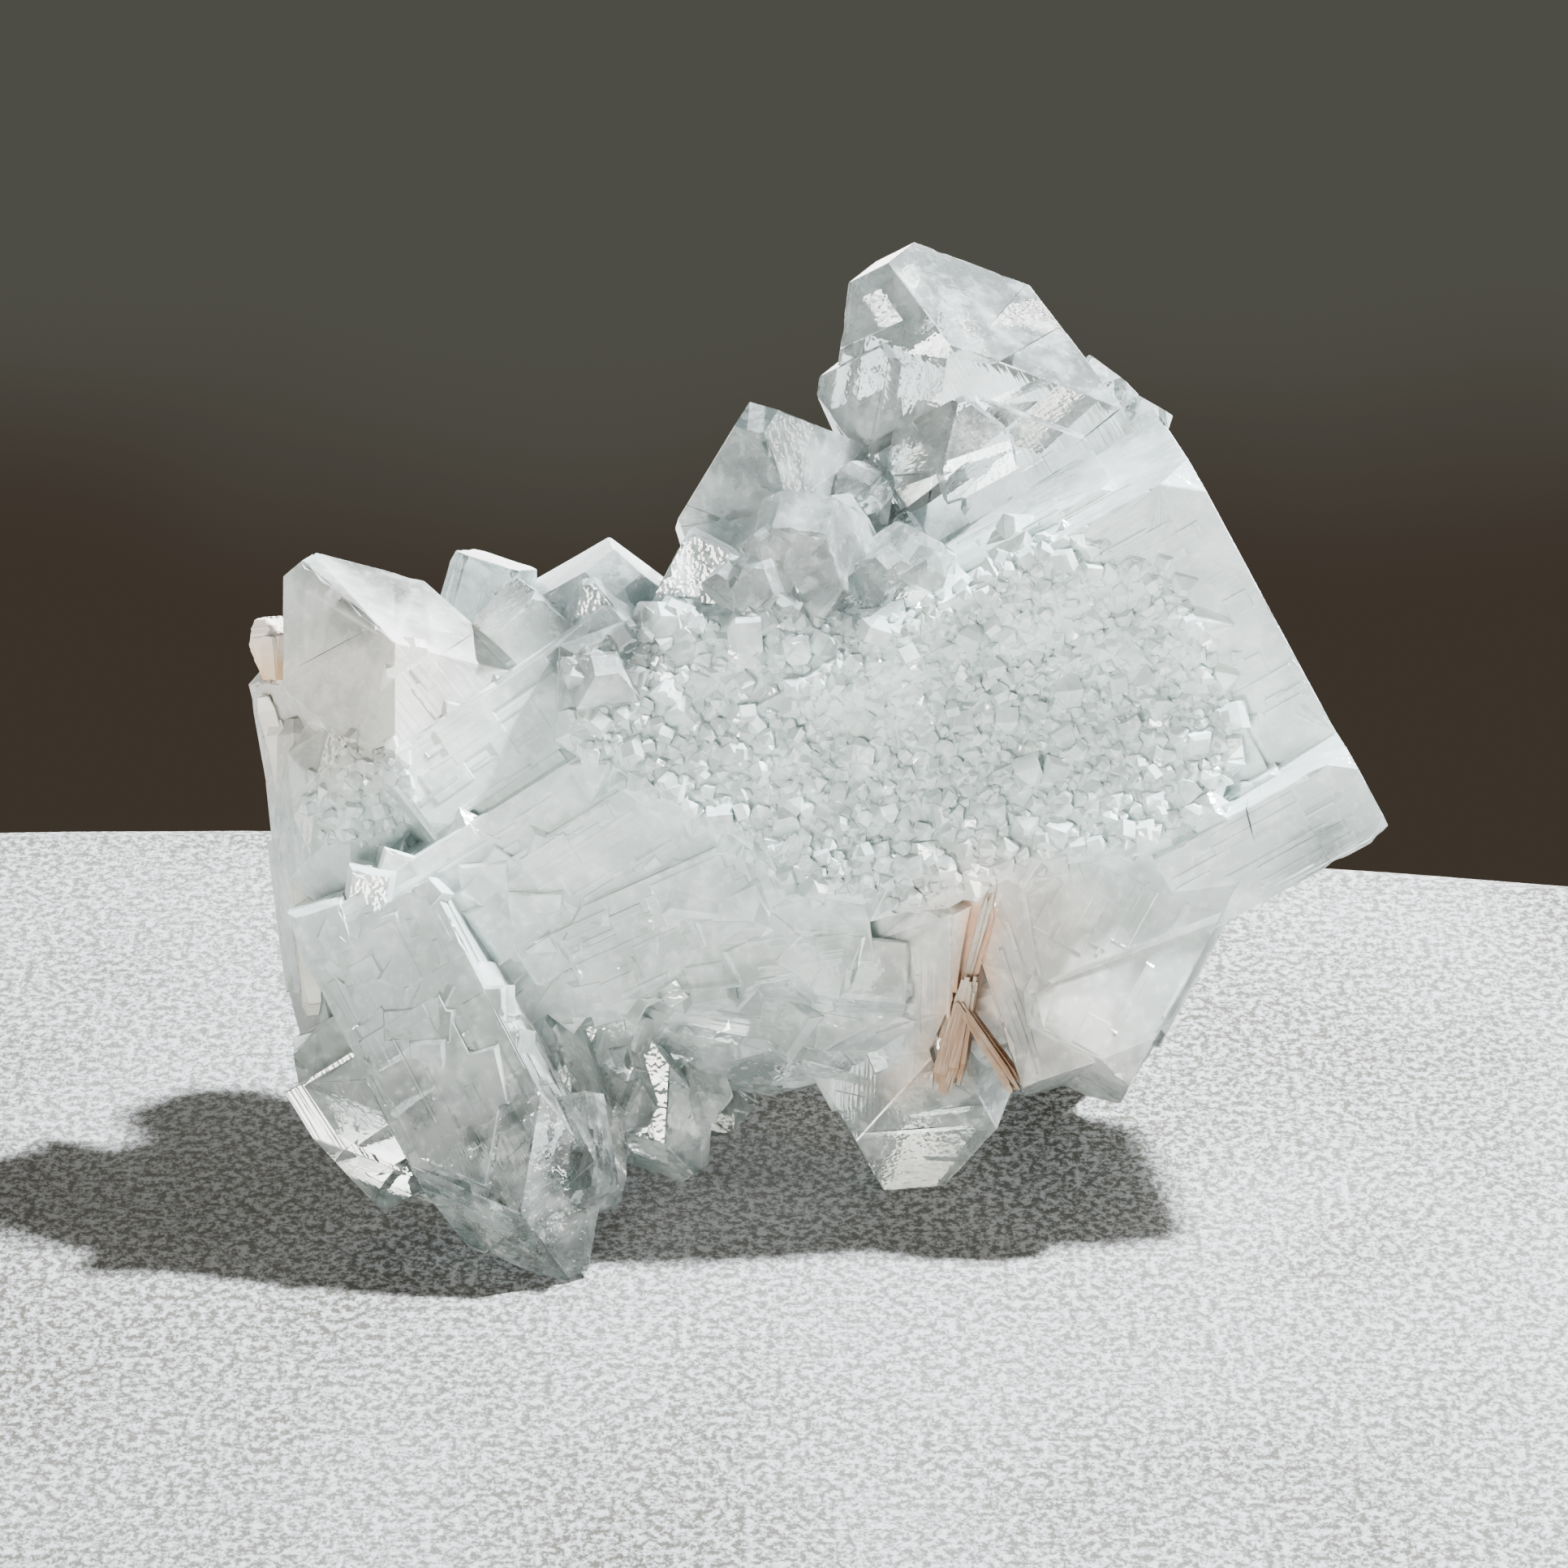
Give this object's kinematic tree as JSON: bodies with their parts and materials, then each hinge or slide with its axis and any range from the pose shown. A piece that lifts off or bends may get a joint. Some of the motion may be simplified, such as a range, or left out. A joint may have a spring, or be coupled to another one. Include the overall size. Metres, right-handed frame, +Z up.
{
  "type": "apophyllite with stilbite",
  "caption": "Natural cluster of intergrown clear and milky apophyllite crystals with a sparkling crust and small peach stilbite sheaves, resting on its lowest crystal tips.",
  "frame": {"origin": "centre of the bounding box in plan, on the ground the cluster rests on", "axes": "+X runs along the longest extent, from the stilbite plate to the slab's lower corner; +Y points away from the crusted front; +Z is up"},
  "size_m": [0.0624, 0.0406, 0.0492],
  "materials": {
    "apophyllite": "clear to milky crystal with a glassy surface",
    "stilbite": "peach to beige, pearly and finely fibrous"
  },
  "bodies": {
    "root": {"apophyllite_cluster": "apophyllite", "stilbite_sheaf": "stilbite", "stilbite_bud": "stilbite", "stilbite_plate": "stilbite"}
  },
  "joints": []
}
